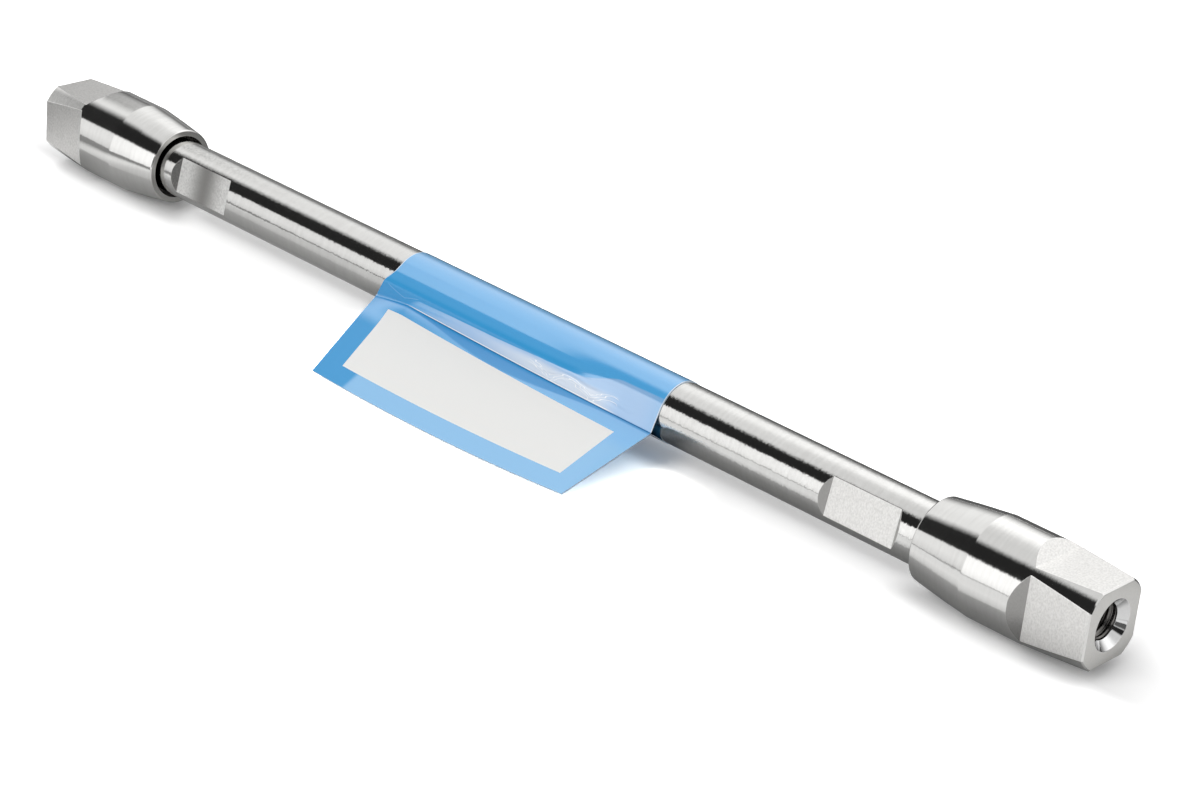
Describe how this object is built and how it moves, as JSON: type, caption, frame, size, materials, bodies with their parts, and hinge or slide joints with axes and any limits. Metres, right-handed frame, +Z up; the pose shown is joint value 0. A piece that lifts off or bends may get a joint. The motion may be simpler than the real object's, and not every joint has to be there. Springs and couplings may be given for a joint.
{
  "type": "hplc column",
  "caption": "Packed steel chromatography column lying on its side, with a screwed end fitting and coned port at each end and a film label wrapped round the tube as a flag.",
  "frame": {"origin": "on the surface that the column lies on, under the middle of its outline, with the axis of the tube above it and towards +Y", "axes": "+X along the column from inlet to outlet, +Z up, and the flag of the label points to -Y"},
  "size_m": [0.1836, 0.0254, 0.0127],
  "materials": {
    "tube_steel": "ground and polished round the tube, with milled wrench flats",
    "fitting_steel": "fine turned, with milled flats",
    "sintered_steel": "sintered, matt",
    "seal_polymer": "turned polymer",
    "silica_packing": "packed fine powder",
    "label_film": "glossy film in light blue with a bare white panel"
  },
  "bodies": {
    "column": {"column_tube": "tube_steel", "packed_bed": "silica_packing", "label_film": "label_film"},
    "inlet_seal": {"inlet_frit": "sintered_steel", "inlet_frit_ring": "seal_polymer"},
    "inlet_fitting": {"inlet_end_fitting": "fitting_steel"},
    "outlet_seal": {"outlet_frit": "sintered_steel", "outlet_frit_ring": "seal_polymer"},
    "outlet_fitting": {"outlet_end_fitting": "fitting_steel"}
  },
  "joints": [
    {"name": "inlet_fitting_travel", "type": "slide", "parent": "column", "child": "inlet_seal", "axis": [-1, 0, 0], "range_m": [0, 0.00526]},
    {"name": "inlet_fitting_turn", "type": "hinge", "parent": "inlet_seal", "child": "inlet_fitting", "pos_m": [-0.075, 0.00632, 0.00635], "axis": [-1, 0, 0], "range_deg": [0, 2520]},
    {"name": "outlet_fitting_travel", "type": "slide", "parent": "column", "child": "outlet_seal", "axis": [1, 0, 0], "range_m": [0, 0.00526]},
    {"name": "outlet_fitting_turn", "type": "hinge", "parent": "outlet_seal", "child": "outlet_fitting", "pos_m": [0.075, 0.00632, 0.00635], "axis": [1, 0, 0], "range_deg": [0, 2520]}
  ],
  "couplings": [
    {"joint": "inlet_fitting_travel", "follows": "inlet_fitting_turn", "m_per_rad": 0.00011937},
    {"joint": "outlet_fitting_travel", "follows": "outlet_fitting_turn", "m_per_rad": 0.00011937}
  ]
}
